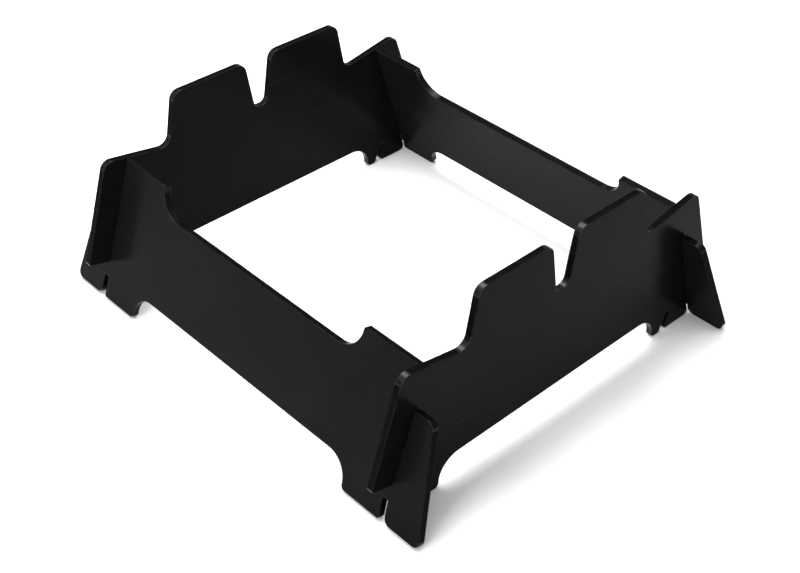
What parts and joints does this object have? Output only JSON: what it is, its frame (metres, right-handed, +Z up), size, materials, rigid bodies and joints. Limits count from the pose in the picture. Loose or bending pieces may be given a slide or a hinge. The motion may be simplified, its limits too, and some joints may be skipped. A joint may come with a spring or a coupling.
{
  "type": "slot-together stand",
  "caption": "Low open rectangular stand of interlocking flat plates: upright plates with raised teeth and sloping shoulders are slotted over leaning cross plates with splayed feet.",
  "frame": {"origin": "middle of the stand on the floor plane, under the crossing of its two mirror planes", "axes": "+X along the cross plates, +Y along the notched plates, +Z up"},
  "size_m": [0.2116, 0.1864, 0.0818],
  "materials": {
    "notched_plate_plastic": "satin",
    "cross_plate_plastic": "satin"
  },
  "bodies": {
    "notched_pair": {"notched_plate_right": "notched_plate_plastic", "notched_plate_left": "notched_plate_plastic"},
    "front_cross": {"cross_plate_front": "cross_plate_plastic"},
    "rear_cross": {"cross_plate_rear": "cross_plate_plastic"}
  },
  "joints": [
    {"name": "front_cross_pull", "type": "slide", "parent": "notched_pair", "child": "front_cross", "axis": [0, -0.3007, -0.9537], "range_m": [0, 0.066]},
    {"name": "rear_cross_pull", "type": "slide", "parent": "notched_pair", "child": "rear_cross", "axis": [0, 0.3007, -0.9537], "range_m": [0, 0.066]}
  ]
}
